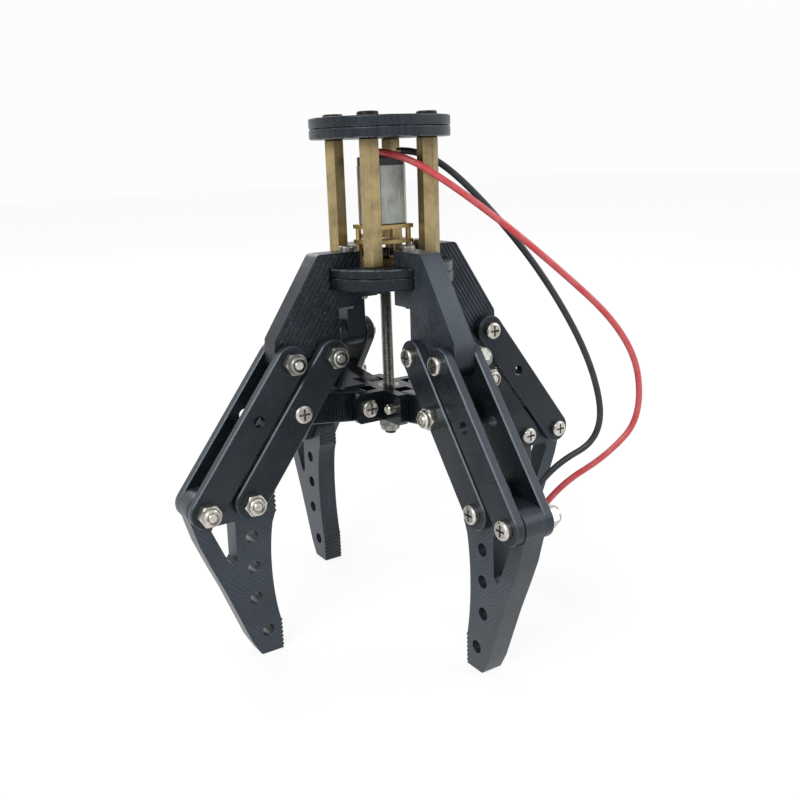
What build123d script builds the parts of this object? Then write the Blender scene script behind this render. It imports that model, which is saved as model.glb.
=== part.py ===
from build123d import *
import math
import os

os.makedirs("parts", exist_ok=True)

# Frame: millimetres, +Z up. The origin is on the lead screw's axis at the floor that the
# four claw tips stand on. Leg 1 points along +X, leg 2 along +Y, leg 3 along -X, leg 4
# along -Y. A leg is drawn in its own upright plane: r outward from the axis, z up, and t
# sideways, counter-clockwise as seen from above. Rest is fully open, the traveller down.
legs = {1: 0, 2: 90, 3: 180, 4: 270}

# Clearances
running_gap = 0.08      # radial play of a pin in the hole it turns in
side_gap = 0.15         # sideways play between plates that turn against each other
head_gap = 0.1          # play under a pivot screw's head and nut
thread_gap = 0.02       # radial play of a screw in its nut or tapped hole
screw_clearance = 0.1   # radial play of a fixing screw in a plain hole
seat_gap = 0.1          # play of the hub rim in a bracket's slot

# Levels on the axis
hub_bottom = 90.1
hub_lower_height = 2.9
hub_upper_height = 2.3
hub_top = hub_bottom + hub_lower_height + hub_upper_height
gearbox_height = 9.4
can_length = 14.2
cap_height = 2.1
terminal_room = 4.3     # from the motor's cap to the top disc
can_bottom = hub_top + gearbox_height
can_top = can_bottom + can_length
cap_top = can_top + cap_height
top_disc_bottom = cap_top + terminal_room
standoff_length = top_disc_bottom - hub_top
top_layer_height = 2.5
top_disc_top = top_disc_bottom + 2 * top_layer_height

# Linkage, rest pose
pivot_z = 74.4
outer_pivot_r = 30.0
pivot_spacing = 11.3
inner_pivot_r = outer_pivot_r - pivot_spacing
link_length = 40.4
open_angle = 53.0        # link below the horizontal, fully open
closed_angle = 101.9     # the same, fully closed
drive_hole_distance = 16.0
root_pivot_r = 9.0
root_pivot_z = 59.4


def link_point(start_r, distance, angle):
    """Point of a link at a distance from its upper pivot, at an angle below the level."""
    turn = math.radians(angle)
    return start_r + distance * math.cos(turn), pivot_z - distance * math.sin(turn)


outer_claw_r, claw_pivot_z = link_point(outer_pivot_r, link_length, open_angle)
inner_claw_r = outer_claw_r - pivot_spacing
drive_r, drive_z = link_point(inner_pivot_r, drive_hole_distance, open_angle)
rod_length = math.hypot(drive_r - root_pivot_r, drive_z - root_pivot_z)
rod_open_angle = math.atan2(drive_z - root_pivot_z, drive_r - root_pivot_r)
closed_drive_r, closed_drive_z = link_point(inner_pivot_r, drive_hole_distance, closed_angle)
rod_drop = math.sqrt(rod_length ** 2 - (closed_drive_r - root_pivot_r) ** 2)
stroke = closed_drive_z + rod_drop - root_pivot_z
rod_closed_angle = -math.atan2(rod_drop, closed_drive_r - root_pivot_r)


def pin_in_rod(share):
    """Drive pin seen from the push rod when every joint has run the same share of its range."""
    angle = open_angle + share * (closed_angle - open_angle)
    turn = rod_open_angle + share * (rod_closed_angle - rod_open_angle)
    pin_r, pin_z = link_point(inner_pivot_r, drive_hole_distance, angle)
    along_r = pin_r - root_pivot_r
    along_z = pin_z - root_pivot_z - share * stroke
    along = along_r * math.cos(turn) + along_z * math.sin(turn)
    across = along_z * math.cos(turn) - along_r * math.sin(turn)
    return along, across


# Thicknesses across a leg
bracket_thickness = 5.6
claw_thickness = bracket_thickness
link_thickness = 2.4
link_inner_t = bracket_thickness / 2 + side_gap
link_outer_t = link_inner_t + link_thickness
rod_thickness = 4.0
cheek_inner_t = rod_thickness / 2 + side_gap
cheek_outer_t = 4.6

# Fasteners: nominal radius, head radius and height, nut size and heights
pivot_screw = {"r": 1.25, "head_r": 2.3, "head_h": 1.5}
frame_screw = {"r": 1.25, "head_r": 2.55, "head_h": 1.0}
bracket_screw = {"r": 1.0, "head_r": 1.9, "head_h": 1.3}
gearbox_screw = {"r": 0.8, "head_r": 1.4, "head_h": 0.9}
pivot_nut = {"flats": 5.0, "hex_h": 2.5, "collar_r": 2.2, "collar_h": 1.3, "mouth_r": 1.6}
mouth_depth = 0.8
screw_end_depth = 0.1   # a pivot screw's end below its nut's collar
pivot_nut_height = pivot_nut["hex_h"] + pivot_nut["collar_h"]
pivot_screw_length = 2 * link_outer_t + 2 * head_gap + pivot_nut_height - screw_end_depth
pivot_hole_r = pivot_screw["r"] + running_gap


def leg_vectors(azimuth):
    """Outward and sideways directions of the leg at an azimuth in degrees."""
    turn = math.radians(azimuth)
    return Vector(math.cos(turn), math.sin(turn), 0), Vector(-math.sin(turn), math.cos(turn), 0)


def leg_plane(azimuth, t=0.0):
    """Upright plane of a leg at t sideways, x outward, y up, facing clockwise."""
    out, side = leg_vectors(azimuth)
    return Plane(origin=side * t, x_dir=out, z_dir=side * -1)


def pin_plane(azimuth, r, z, t, facing):
    """Plane across a leg's pin at (r, z) and t; it faces +t for facing 1, -t for -1."""
    out, side = leg_vectors(azimuth)
    return Plane(origin=out * r + side * t + Vector(0, 0, z), x_dir=out, z_dir=side * facing)


def level_plane(x, y, z, facing=1):
    """Level plane at a point, facing up for 1 and down for -1."""
    return Plane(origin=(x, y, z), x_dir=(1, 0, 0), z_dir=(0, 0, facing))


def screw_shape(screw, length):
    """Pan-head screw with a cross recess: head above the XY plane, shank below it."""
    head_r = screw["head_r"]
    head_h = screw["head_h"]
    recess_length = 1.25 * head_r
    recess_width = 0.24 * head_r
    recess_depth = 0.6 * head_h
    crown = 0.42 * head_h
    tip_break = 0.25 * screw["r"]
    upward = (Align.CENTER, Align.CENTER, Align.MIN)
    downward = (Align.CENTER, Align.CENTER, Align.MAX)
    head = Cylinder(head_r, head_h, align=upward)
    head = fillet(head.edges().group_by(Axis.Z)[-1], crown)
    for turn in (0, 90):
        slot = Box(recess_length, recess_width, recess_depth, align=downward)
        head = head - Pos(0, 0, head_h) * Rot(0, 0, turn) * slot
    shank = Cylinder(screw["r"], length, align=downward)
    shank = chamfer(shank.edges().group_by(Axis.Z)[0], tip_break)
    return head + shank


def lock_nut_shape(nut, bore_r):
    """Nylon-insert lock nut standing on the XY plane: a hexagon with a round collar."""
    height = nut["hex_h"] + nut["collar_h"]
    corner_r = nut["flats"] / math.sqrt(3)
    corner_break = 0.3
    upward = (Align.CENTER, Align.CENTER, Align.MIN)
    hexagon = extrude(RegularPolygon(nut["flats"] / 2, 6, major_radius=False), amount=nut["hex_h"])
    cone = Cylinder(corner_r, nut["hex_h"], align=upward)
    cone = chamfer(cone.edges().group_by(Axis.Z)[-1], corner_break)
    collar = Cylinder(nut["collar_r"], height, align=upward)
    collar = fillet(collar.edges().group_by(Axis.Z)[-1], 0.45 * nut["collar_h"])
    bore = Cylinder(bore_r, height, align=upward)
    mouth = Pos(0, 0, height - mouth_depth) * Cylinder(nut["mouth_r"], mouth_depth, align=upward)
    return (hexagon & cone) + collar - bore - mouth


pivot_screw_shape = screw_shape(pivot_screw, pivot_screw_length)
pivot_nut_shape = lock_nut_shape(pivot_nut, pivot_screw["r"] + thread_gap)

# Hub: two printed discs stacked face to face, with the motor on top and the brackets
# clipped over the rim.
hub_r = 17.4
hub_upper_r = 17.25
shaft_hole_r = 2.6
standoff_circle_r = 11.7
bracket_screw_r = 10.8
gearbox_screw_x = 4.5
standoff_angles = (45, 135, 225, 315)
standoff_points = [
    (standoff_circle_r * math.cos(math.radians(a)), standoff_circle_r * math.sin(math.radians(a)))
    for a in standoff_angles
]
bracket_points = [
    (bracket_screw_r * math.cos(math.radians(a)), bracket_screw_r * math.sin(math.radians(a)))
    for a in legs.values()
]
rim_break = 0.25
hub_layers = {
    "hub_lower": (hub_r, hub_bottom, hub_lower_height),
    "hub_upper": (hub_upper_r, hub_bottom + hub_lower_height, hub_upper_height),
}
for name, (disc_r, level, height) in hub_layers.items():
    with BuildPart() as hub_layer:
        with BuildSketch(Plane.XY.offset(level)):
            Circle(disc_r)
        extrude(amount=height)
        chamfer(hub_layer.edges().filter_by(GeomType.CIRCLE), rim_break)
        with BuildSketch(Plane.XY.offset(level)):
            Circle(shaft_hole_r)
            with Locations(*standoff_points):
                Circle(frame_screw["r"] + screw_clearance)
            with Locations(*bracket_points):
                Circle(bracket_screw["r"] + screw_clearance)
            with Locations((gearbox_screw_x, 0), (-gearbox_screw_x, 0)):
                Circle(gearbox_screw["r"] + screw_clearance)
        extrude(amount=height, mode=Mode.SUBTRACT)
    hub_layer.part.label = name
    export_step(hub_layer.part, f"parts/{name}.step")

# Top disc: two printed layers bolted on the standoffs; four plain holes take the arm's bolts.
top_disc_r = 17.25
mount_circle_r = 8.0
mount_hole_r = 1.7
mount_points = [
    (mount_circle_r * math.cos(math.radians(a)), mount_circle_r * math.sin(math.radians(a)))
    for a in legs.values()
]
top_layers = {
    "top_disc_lower": top_disc_bottom,
    "top_disc_upper": top_disc_bottom + top_layer_height,
}
for name, level in top_layers.items():
    with BuildPart() as top_layer:
        with BuildSketch(Plane.XY.offset(level)):
            Circle(top_disc_r)
        extrude(amount=top_layer_height)
        chamfer(top_layer.edges().filter_by(GeomType.CIRCLE), rim_break)
        with BuildSketch(Plane.XY.offset(level)):
            with Locations(*standoff_points):
                Circle(frame_screw["r"] + screw_clearance)
            with Locations(*mount_points):
                Circle(mount_hole_r)
        extrude(amount=top_layer_height, mode=Mode.SUBTRACT)
    top_layer.part.label = name
    export_step(top_layer.part, f"parts/{name}.step")

# Standoffs: four brass hexagons, tapped at both ends. The one between legs 4 and 1 is
# screwed home a twelfth of a turn further than the others.
standoff_flats = 4.5
standoff_tap_depth = 7.0
standoff_break = 0.25
standoff_turns = (0, 0, 0, 30)
with BuildPart() as standoffs:
    with BuildSketch(Plane.XY.offset(hub_top)):
        for point, turn in zip(standoff_points, standoff_turns):
            with Locations(point):
                RegularPolygon(standoff_flats / 2, 6, major_radius=False, rotation=turn)
    extrude(amount=standoff_length)
    chamfer(standoffs.edges().filter_by(Axis.Z, reverse=True), standoff_break)
    for level in (hub_top, top_disc_bottom - standoff_tap_depth):
        with BuildSketch(Plane.XY.offset(level)):
            with Locations(*standoff_points):
                Circle(frame_screw["r"] + thread_gap)
        extrude(amount=standoff_tap_depth, mode=Mode.SUBTRACT)
standoffs.part.label = "standoffs"
export_step(standoffs.part, "parts/standoffs.step")

# Frame screws: black pan heads on the top disc and under the hub, into the standoffs.
frame_screw_bite = 4.0
top_screw_shape = screw_shape(frame_screw, 2 * top_layer_height + frame_screw_bite)
hub_screw_shape = screw_shape(frame_screw, hub_top - hub_bottom + frame_screw_bite)
with BuildPart() as top_screws:
    for x, y in standoff_points:
        add(level_plane(x, y, top_disc_top).location * top_screw_shape)
top_screws.part.label = "top_screws"
export_step(top_screws.part, "parts/top_screws.step")

with BuildPart() as hub_screws:
    for x, y in standoff_points:
        add(level_plane(x, y, hub_bottom, -1).location * hub_screw_shape)
hub_screws.part.label = "hub_screws"
export_step(hub_screws.part, "parts/hub_screws.step")

# Brackets: printed side plates, each a C that clips over the hub rim and carries the two
# upper pivots of its leg in a pair of round bosses.
arm_top = 98.9
tab_bottom = 85.5
bracket_inner_r = 8.6
web_inner_r = 15.3
shoulder_r = 20.4
shoulder_break = 1.5
elbow_r = 33.1
elbow_z = 79.6
boss_r = 3.5
rim_slot_r = hub_r + seat_gap
for k, azimuth in legs.items():
    with BuildPart() as bracket:
        with BuildSketch(leg_plane(azimuth)):
            with BuildLine():
                Polyline(
                    (bracket_inner_r, arm_top),
                    (shoulder_r, arm_top),
                    (elbow_r, elbow_z),
                    (outer_pivot_r + boss_r, pivot_z),
                    (outer_pivot_r, pivot_z),
                    (inner_pivot_r, pivot_z),
                    (inner_pivot_r - boss_r, pivot_z),
                    (web_inner_r, tab_bottom - boss_r),
                    (web_inner_r, tab_bottom),
                    (bracket_inner_r, tab_bottom),
                    close=True,
                )
            make_face()
            with Locations((outer_pivot_r, pivot_z), (inner_pivot_r, pivot_z)):
                Circle(boss_r)
        extrude(amount=bracket_thickness / 2, both=True)
        level_edges = bracket.edges().filter_by(Axis.Z, reverse=True).group_by(Axis.Z)[-1]
        shoulder = level_edges.sort_by(lambda e: math.hypot(e.center().X, e.center().Y))[-1]
        fillet(shoulder, shoulder_break)
        with BuildSketch(leg_plane(azimuth)):
            with Locations((rim_slot_r / 2, (hub_bottom + hub_top) / 2)):
                Rectangle(rim_slot_r, hub_top - hub_bottom)
            with Locations((outer_pivot_r, pivot_z), (inner_pivot_r, pivot_z)):
                Circle(pivot_hole_r)
        extrude(amount=bracket_thickness, both=True, mode=Mode.SUBTRACT)
        out, side = leg_vectors(azimuth)
        screw_at = out * bracket_screw_r
        with BuildSketch(Plane.XY.offset(tab_bottom)):
            with Locations((screw_at.X, screw_at.Y)):
                Circle(bracket_screw["r"] + screw_clearance)
        extrude(amount=arm_top - tab_bottom, mode=Mode.SUBTRACT)
    bracket.part.label = f"bracket_{k}"
    export_step(bracket.part, f"parts/bracket_{k}.step")

# Bracket screws: one upright screw through each arm, the hub and the tab below it.
bracket_screw_out = 0.9
bracket_screw_shape = screw_shape(bracket_screw, arm_top - tab_bottom + bracket_screw_out)
with BuildPart() as bracket_screws:
    for x, y in bracket_points:
        add(level_plane(x, y, arm_top).location * bracket_screw_shape)
bracket_screws.part.label = "bracket_screws"
export_step(bracket_screws.part, "parts/bracket_screws.step")

# Shoulder screws and nuts: the eight upper pivots, heads clockwise and nuts counter-clockwise.
pivot_head_t = link_outer_t + head_gap
shoulder_pivots = (outer_pivot_r, inner_pivot_r)
with BuildPart() as shoulder_screws:
    for azimuth in legs.values():
        for r in shoulder_pivots:
            add(pin_plane(azimuth, r, pivot_z, -pivot_head_t, -1).location * pivot_screw_shape)
shoulder_screws.part.label = "shoulder_screws"
export_step(shoulder_screws.part, "parts/shoulder_screws.step")

with BuildPart() as shoulder_nuts:
    for azimuth in legs.values():
        for r in shoulder_pivots:
            add(pin_plane(azimuth, r, pivot_z, pivot_head_t, 1).location * pivot_nut_shape)
shoulder_nuts.part.label = "shoulder_nuts"
export_step(shoulder_nuts.part, "parts/shoulder_nuts.step")

# Link plates: the same flat plate four times to a leg, an outer and an inner pair. Each has
# a pivot hole at both ends and a drive hole, which only the inner pair uses.
link_end_r = 4.05
drive_hole_r = 1.45
link_edge_break = 0.3
link_pairs = {"outer": outer_pivot_r, "inner": inner_pivot_r}
for k, azimuth in legs.items():
    for pair, start_r in link_pairs.items():
        for hand, facing in (("left", 1), ("right", -1)):
            end_r, end_z = link_point(start_r, link_length, open_angle)
            hole_r, hole_z = link_point(start_r, drive_hole_distance, open_angle)
            middle = ((start_r + end_r) / 2, (pivot_z + end_z) / 2)
            plate_t = facing * (link_inner_t + link_thickness / 2)
            with BuildPart() as link:
                with BuildSketch(leg_plane(azimuth, plate_t)):
                    with Locations(middle):
                        SlotCenterToCenter(link_length, 2 * link_end_r, rotation=-open_angle)
                extrude(amount=link_thickness / 2, both=True)
                rim = link.faces().filter_by(leg_plane(azimuth)).edges()
                chamfer(rim, link_edge_break)
                with BuildSketch(leg_plane(azimuth, plate_t)):
                    with Locations((start_r, pivot_z), (end_r, end_z)):
                        Circle(pivot_hole_r)
                    with Locations((hole_r, hole_z)):
                        Circle(drive_hole_r)
                extrude(amount=link_thickness, both=True, mode=Mode.SUBTRACT)
            name = f"{pair}_link_{hand}_{k}"
            link.part.label = name
            export_step(link.part, f"parts/{name}.step")

# Claws: thick printed jaws, hung from both link pairs so that they stay upright. The inner
# edge is toothed at the top and at the tip, with a hollow between; four lightening holes
# and one window go right through. Points are inward of the outer pivot and above the floor.
claw_boss_r = 4.1
claw_top = claw_pivot_z + claw_boss_r
upper_teeth_in = 18.6
tooth_r = outer_claw_r - upper_teeth_in
tooth_depth = 0.35
tooth_flank_share = 0.35
upper_tooth_pitch = 1.2
upper_teeth = 5
upper_teeth_rise = 1.0
upper_teeth_top = claw_pivot_z + upper_teeth_rise
tip_tooth_pitch = 1.15
tip_teeth = 7
tip_teeth_bottom = 0.5
tip_inner_in = 18.1
tip_outer_in = 11.9
tip_inner_r = outer_claw_r - tip_inner_in
tip_outer_r = outer_claw_r - tip_outer_in
tip_corner_r = 0.8
upper_teeth_bottom = upper_teeth_top - upper_teeth * upper_tooth_pitch
tip_teeth_top = tip_teeth_bottom + tip_teeth * tip_tooth_pitch
claw_hole_r = 1.6
holes_in = [(11.65, 32.4), (11.65, 24.3), (11.55, 16.0), (14.15, 6.2)]
hollow_in = [(17.4, 34.9), (16.65, 29.8), (16.35, 22.6), (16.7, 15.6)]
outer_edge_in = [(9.6, 4.3), (4.1, 19.0), (0.8, 26.9), (-1.7, 33.3)]
window_in = [(7.6, 37.4), (7.4, 27.0), (6.4, 25.9), (5.4, 26.9), (1.5, 36.4), (2.1, 37.4)]
window_corner_r = 0.4


def from_pivot(points):
    """Points (r, z) of a claw from their distance inward of its outer pivot and height."""
    return [(outer_claw_r - inward, z) for inward, z in points]


hollow = from_pivot(hollow_in)


def teeth(start_z, pitch, count, valley_r):
    """Points of a row of teeth going down from start_z, pointing to the axis."""
    points = []
    for i in range(count):
        points.append((valley_r, start_z - i * pitch))
        points.append((valley_r - tooth_depth, start_z - (i + tooth_flank_share) * pitch))
        points.append((valley_r - tooth_depth, start_z - (i + 1 - tooth_flank_share) * pitch))
    points.append((valley_r, start_z - count * pitch))
    return points


for k, azimuth in legs.items():
    upper_row = teeth(upper_teeth_top, upper_tooth_pitch, upper_teeth, tooth_r + tooth_depth)
    tip_row = teeth(tip_teeth_top, tip_tooth_pitch, tip_teeth, tip_inner_r + tooth_depth)
    with BuildPart() as claw:
        with BuildSketch(leg_plane(azimuth)) as claw_sketch:
            with BuildLine():
                Polyline(*upper_row)
                Polyline(upper_row[-1], hollow[0])
                Spline(*hollow, tip_row[0])
                Polyline(*tip_row)
                Polyline(
                    tip_row[-1],
                    (tip_inner_r, 0),
                    (tip_outer_r, 0),
                    *from_pivot(outer_edge_in),
                    (outer_claw_r + claw_boss_r, claw_pivot_z),
                    (outer_claw_r, claw_top),
                    (inner_claw_r - claw_boss_r, claw_top),
                    upper_row[0],
                )
            make_face()
            lowest = claw_sketch.vertices().group_by(Axis.Y)[0]
            fillet(lowest.sort_by(Axis.X)[-1], tip_corner_r)
            with Locations((outer_claw_r, claw_pivot_z)):
                Circle(claw_boss_r)
            with BuildSketch(Plane.XY, mode=Mode.PRIVATE) as window_sketch:
                with BuildLine():
                    Polyline(*from_pivot(window_in), close=True)
                make_face()
                fillet(window_sketch.vertices(), window_corner_r)
            add(window_sketch.sketch, mode=Mode.SUBTRACT)
            with Locations(*from_pivot(holes_in)):
                Circle(claw_hole_r, mode=Mode.SUBTRACT)
            with Locations((outer_claw_r, claw_pivot_z), (inner_claw_r, claw_pivot_z)):
                Circle(pivot_hole_r, mode=Mode.SUBTRACT)
        extrude(amount=claw_thickness / 2, both=True)
    claw.part.label = f"claw_{k}"
    export_step(claw.part, f"parts/claw_{k}.step")

    # Claw fasteners: the two lower pivots of the leg, fixed to the claw.
    with BuildPart() as claw_fasteners:
        for r in (outer_claw_r, inner_claw_r):
            add(pin_plane(azimuth, r, claw_pivot_z, -pivot_head_t, -1).location * pivot_screw_shape)
            add(pin_plane(azimuth, r, claw_pivot_z, pivot_head_t, 1).location * pivot_nut_shape)
    claw_fasteners.part.label = f"claw_fasteners_{k}"
    export_step(claw_fasteners.part, f"parts/claw_fasteners_{k}.step")

    # Drive fastener: the pin that the push rod works on, fixed through the inner links.
    with BuildPart() as drive_fastener:
        add(pin_plane(azimuth, drive_r, drive_z, link_outer_t, 1).location * pivot_screw_shape)
        add(pin_plane(azimuth, drive_r, drive_z, -link_outer_t, -1).location * pivot_nut_shape)
    drive_fastener.part.label = f"drive_fastener_{k}"
    export_step(drive_fastener.part, f"parts/drive_fastener_{k}.step")

# Push rods: short thick bars from the traveller's forks to the drive pins. The eye on the
# drive pin is a slot: it takes up what the constant joint ratios leave at mid travel.
rod_end_r = 3.9
rod_edge_break = 0.3
track_steps = 12
pin_track = [pin_in_rod(step / track_steps) for step in range(track_steps + 1)]
slot_start = (rod_length, 0.0)
slot_end = min(pin_track)
slot_run = math.dist(slot_start, slot_end)
slot_tilt = math.degrees(math.atan2(slot_start[1] - slot_end[1], slot_start[0] - slot_end[0]))


def off_slot(point):
    """Distance of a point from the slot's centre line."""
    run_x = (slot_start[0] - slot_end[0]) / slot_run
    run_y = (slot_start[1] - slot_end[1]) / slot_run
    return abs((point[0] - slot_end[0]) * run_y - (point[1] - slot_end[1]) * run_x)


slot_r = pivot_screw["r"] + running_gap + max(off_slot(point) for point in pin_track)
for k, azimuth in legs.items():
    out, side = leg_vectors(azimuth)
    rise = Vector(0, 0, 1)
    along = out * math.cos(rod_open_angle) + rise * math.sin(rod_open_angle)
    rod_plane = Plane(origin=out * root_pivot_r + rise * root_pivot_z, x_dir=along, z_dir=side * -1)
    with BuildPart() as push_rod:
        with BuildSketch(rod_plane):
            with Locations((rod_length / 2, 0)):
                SlotCenterToCenter(rod_length, 2 * rod_end_r)
        extrude(amount=rod_thickness / 2, both=True)
        chamfer(push_rod.faces().filter_by(rod_plane).edges(), rod_edge_break)
        with BuildSketch(rod_plane):
            Circle(pivot_hole_r)
            with Locations(((slot_start[0] + slot_end[0]) / 2, (slot_start[1] + slot_end[1]) / 2)):
                SlotCenterToCenter(slot_run, 2 * slot_r, rotation=slot_tilt)
        extrude(amount=rod_thickness, both=True, mode=Mode.SUBTRACT)
    push_rod.part.label = f"push_rod_{k}"
    export_step(push_rod.part, f"parts/push_rod_{k}.step")

# Traveller: a printed cross with a fork at each arm's end, pocketed on top for its nut.
fork_half_height = 3.9
traveller_top = root_pivot_z + fork_half_height
traveller_bottom = root_pivot_z - fork_half_height
fork_end_r = 12.5
fork_slot_gap = 0.3
fork_slot_r = root_pivot_r - rod_end_r - fork_slot_gap
core_r = 6.4
petal_break = 1.0
screw_r = 1.5
lead_nut_flats = 5.5
lead_nut_height = 2.4
lead_nut_pocket_gap = 0.05
with BuildPart() as traveller:
    with BuildSketch(Plane.XY.offset(traveller_bottom)):
        Rectangle(2 * fork_end_r, 2 * cheek_outer_t)
        Rectangle(2 * cheek_outer_t, 2 * fork_end_r)
        Circle(core_r)
    extrude(amount=2 * fork_half_height)
    level_edges = traveller.edges().filter_by(Axis.Z, reverse=True)
    ends = level_edges.sort_by(lambda e: math.hypot(e.center().X, e.center().Y))[-8:]
    chamfer(ends, petal_break)
    slot_length = fork_end_r - fork_slot_r
    slot_centre = (fork_end_r + fork_slot_r) / 2
    with BuildSketch(Plane.XY.offset(traveller_bottom)):
        for azimuth in legs.values():
            out, side = leg_vectors(azimuth)
            with Locations((out.X * slot_centre, out.Y * slot_centre)):
                Rectangle(slot_length, 2 * cheek_inner_t, rotation=azimuth)
        Circle(screw_r + running_gap)
    extrude(amount=2 * fork_half_height, mode=Mode.SUBTRACT)
    with BuildSketch(Plane.XY.offset(traveller_top - lead_nut_height)):
        RegularPolygon(lead_nut_flats / 2 + lead_nut_pocket_gap, 6, major_radius=False)
    extrude(amount=lead_nut_height, mode=Mode.SUBTRACT)
    for azimuth in legs.values():
        with BuildSketch(leg_plane(azimuth)):
            with Locations((root_pivot_r, root_pivot_z)):
                Circle(pivot_screw["r"] + thread_gap)
        extrude(amount=cheek_outer_t, both=True, mode=Mode.SUBTRACT)
traveller.part.label = "traveller"
export_step(traveller.part, "parts/traveller.step")

# Root screws: the four lower pins of the traveller, threaded through both cheeks.
root_screw_out = 2.0
root_screw_shape = screw_shape(pivot_screw, 2 * cheek_outer_t + root_screw_out)
with BuildPart() as root_screws:
    for azimuth in legs.values():
        add(pin_plane(azimuth, root_pivot_r, root_pivot_z, cheek_outer_t, 1).location * root_screw_shape)
root_screws.part.label = "root_screws"
export_step(root_screws.part, "parts/root_screws.step")

# Lead nut in the traveller's pocket and lock nut against its underside.
lock_nut = {"flats": 5.5, "hex_h": 3.0, "collar_r": 2.5, "collar_h": 1.5, "mouth_r": 1.9}
lock_nut_solid = lock_nut_shape(lock_nut, screw_r + running_gap)
with BuildPart() as lead_nut:
    with BuildSketch(Plane.XY.offset(traveller_top - lead_nut_height)):
        RegularPolygon(lead_nut_flats / 2, 6, major_radius=False)
        Circle(screw_r + running_gap, mode=Mode.SUBTRACT)
    extrude(amount=lead_nut_height)
lead_nut.part.label = "lead_nut"
export_step(lead_nut.part, "parts/lead_nut.step")

with BuildPart() as traveller_lock_nut:
    add(level_plane(0, 0, traveller_bottom, -1).location * lock_nut_solid)
traveller_lock_nut.part.label = "lock_nut"
export_step(traveller_lock_nut.part, "parts/lock_nut.step")

# Gear motor: a flat-sided can on a three-plate gearbox, bolted on the hub from below.
plate_x = 12.0
plate_y = 10.0
plate_corner_r = 0.5
first_plate_height = 1.0
middle_plate_bottom = hub_top + 4.8
middle_plate_height = 0.9
last_plate_height = 0.95
can_r = 6.0
can_flat = 5.0
can_edge_r = 0.5
pillar_r = 0.7
pillar_x = 4.9
pillar_y = 3.9
pillar_points = [(pillar_x * i, pillar_y * j) for i in (-1, 1) for j in (-1, 1)]
output_r = 1.5
arbor_x = -3.2
arbor_y = 1.2
arbor_r = 0.4
motor_shaft_r = 0.5
plate_levels = [
    (hub_top, first_plate_height, output_r + running_gap),
    (middle_plate_bottom, middle_plate_height, motor_shaft_r + screw_clearance),
    (can_bottom - last_plate_height, last_plate_height, motor_shaft_r + screw_clearance),
]
with BuildPart() as gearbox_plates:
    for level, height, hole_r in plate_levels:
        with BuildSketch(Plane.XY.offset(level)):
            RectangleRounded(plate_x, plate_y, plate_corner_r)
            Circle(hole_r, mode=Mode.SUBTRACT)
            with Locations((arbor_x, arbor_y)):
                Circle(arbor_r + thread_gap, mode=Mode.SUBTRACT)
            with Locations(*pillar_points):
                Circle(pillar_r + thread_gap, mode=Mode.SUBTRACT)
        extrude(amount=height)
    with BuildSketch(Plane.XY.offset(hub_top)):
        with Locations((gearbox_screw_x, 0), (-gearbox_screw_x, 0)):
            Circle(gearbox_screw["r"] + thread_gap)
    extrude(amount=first_plate_height, mode=Mode.SUBTRACT)
gearbox_plates.part.label = "gearbox_plates"
export_step(gearbox_plates.part, "parts/gearbox_plates.step")

with BuildPart() as gearbox_pillars:
    with BuildSketch(Plane.XY.offset(hub_top)):
        with Locations(*pillar_points):
            Circle(pillar_r)
    extrude(amount=can_bottom - hub_top)
gearbox_pillars.part.label = "gearbox_pillars"
export_step(gearbox_pillars.part, "parts/gearbox_pillars.step")

hub_thickness = hub_top - hub_bottom
gearbox_screw_shape = screw_shape(gearbox_screw, hub_thickness + first_plate_height)
with BuildPart() as gearbox_screws:
    for x in (gearbox_screw_x, -gearbox_screw_x):
        add(level_plane(x, 0, hub_bottom, -1).location * gearbox_screw_shape)
gearbox_screws.part.label = "gearbox_screws"
export_step(gearbox_screws.part, "parts/gearbox_screws.step")


def add_gear(x, y, level, height, outer_r, tooth_count):
    """Spur gear standing on a level: a disc with straight-sided teeth."""
    tooth_width = gear_tooth_share * math.pi * outer_r / tooth_count
    tooth_length = gear_tooth_height + gear_tooth_sink
    with BuildSketch(Plane.XY.offset(level)) as gear:
        with Locations((x, y)):
            Circle(outer_r - gear_tooth_height)
            with PolarLocations(outer_r - tooth_length / 2, tooth_count):
                Rectangle(tooth_length, tooth_width)
    extrude(gear.sketch, amount=height)


# Gears: a double gear on its arbor and the pinion on the motor shaft. The output gear is
# fixed on the lead screw.
gear_tooth_height = 0.45
gear_tooth_share = 0.8
gear_tooth_sink = 0.25
double_gear_r = 2.3
double_gear_teeth = 18
upper_wheel_height = 1.0
lower_wheel_height = 0.7
wheel_gap = 0.4
pinion_r = 0.9
pinion_teeth = 8
pinion_height = 1.4
sleeve_r = 0.8
output_gear_r = 2.5
output_gear_teeth = 20
output_gear_bottom = hub_top + 1.6
output_gear_height = 1.8
gear_level = middle_plate_bottom + middle_plate_height + wheel_gap
with BuildPart() as gear_train:
    with BuildSketch(Plane.XY.offset(hub_top)):
        with Locations((arbor_x, arbor_y)):
            Circle(arbor_r)
    extrude(amount=can_bottom - hub_top)
    add_gear(arbor_x, arbor_y, gear_level, upper_wheel_height, double_gear_r, double_gear_teeth)
    lower_level = middle_plate_bottom - wheel_gap - lower_wheel_height
    add_gear(arbor_x, arbor_y, lower_level, lower_wheel_height, double_gear_r, double_gear_teeth)
    with BuildSketch(Plane.XY.offset(output_gear_bottom)):
        with Locations((arbor_x, arbor_y)):
            Circle(sleeve_r)
    extrude(amount=lower_level - output_gear_bottom)
    with BuildSketch(Plane.XY.offset(gear_level)):
        Circle(motor_shaft_r)
    extrude(amount=can_bottom - gear_level)
    add_gear(0, 0, gear_level, pinion_height, pinion_r, pinion_teeth)
gear_train.part.label = "gear_train"
export_step(gear_train.part, "parts/gear_train.step")

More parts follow.
